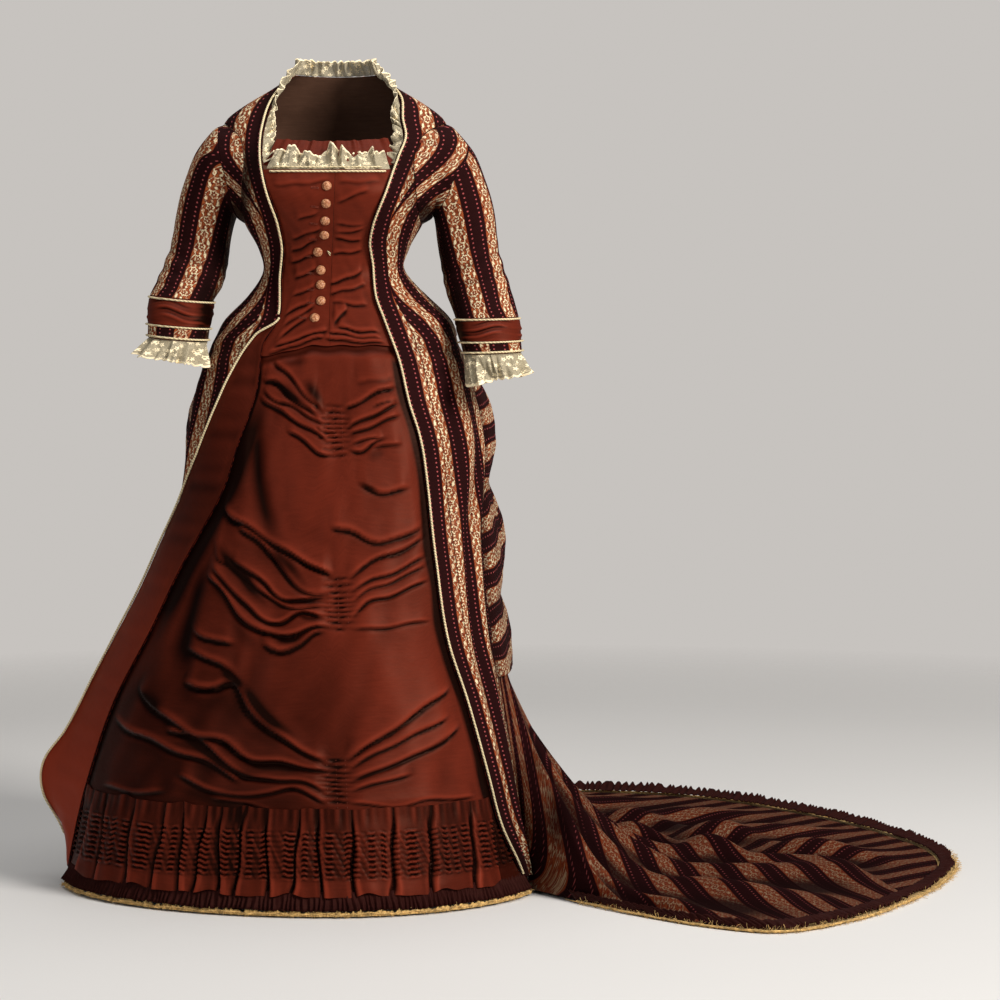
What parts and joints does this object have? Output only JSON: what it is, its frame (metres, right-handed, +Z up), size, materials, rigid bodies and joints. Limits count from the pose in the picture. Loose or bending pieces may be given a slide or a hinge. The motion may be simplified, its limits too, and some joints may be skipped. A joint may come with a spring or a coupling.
{
  "type": "victorian day dress",
  "caption": "Floor-length trained day dress as worn and empty: buttoned vest, striped overdress with puffed back, swagged apron, pleated flounce and three-quarter sleeves.",
  "frame": {"origin": "neck point between the wearer's shoulders, 1.345 m above the floor the hem stands on", "axes": "+Z up, -Y the wearer's front, +X the wearer's left, the side the train sweeps to"},
  "size_m": [1.546, 1.4252, 1.3748],
  "materials": {
    "rust_silk": "soft silk sheen",
    "striped_cloth": "cut velvet and brocade stripes",
    "plum_silk": "matt silk",
    "cream_lace": "matt cotton lace",
    "gold_lace": "frayed cotton lace",
    "cream_piping": "silk-covered cord",
    "copper_button": "brocade-covered dome"
  },
  "bodies": {
    "root": {"apron": "rust_silk", "back_drape": "striped_cloth", "bodice_back": "striped_cloth", "button_1": "copper_button", "button_2": "copper_button", "button_3": "copper_button", "button_4": "copper_button", "button_5": "copper_button", "button_6": "copper_button", "button_7": "copper_button", "button_8": "copper_button", "button_9": "copper_button", "cuff_lace_left": "cream_lace", "cuff_lace_right": "cream_lace", "cuff_left": "rust_silk", "cuff_right": "rust_silk", "flounce": "rust_silk", "front_left": "striped_cloth", "front_right": "striped_cloth", "hem_lace": "gold_lace", "hem_ruffle": "plum_silk", "neck_lace": "cream_lace", "neck_lace_front": "cream_lace", "neck_strip": "rust_silk", "piping_cuff_left_low": "cream_piping", "piping_cuff_left_top": "cream_piping", "piping_cuff_right_low": "cream_piping", "piping_cuff_right_top": "cream_piping", "piping_front_left": "cream_piping", "piping_front_right": "cream_piping", "piping_neckline": "cream_piping", "piping_revers": "cream_piping", "revers": "rust_silk", "sleeve_left": "striped_cloth", "sleeve_right": "striped_cloth", "train": "striped_cloth", "train_lace": "gold_lace", "train_ruffle": "plum_silk", "vest_left": "rust_silk", "vest_right": "rust_silk"}
  },
  "joints": []
}
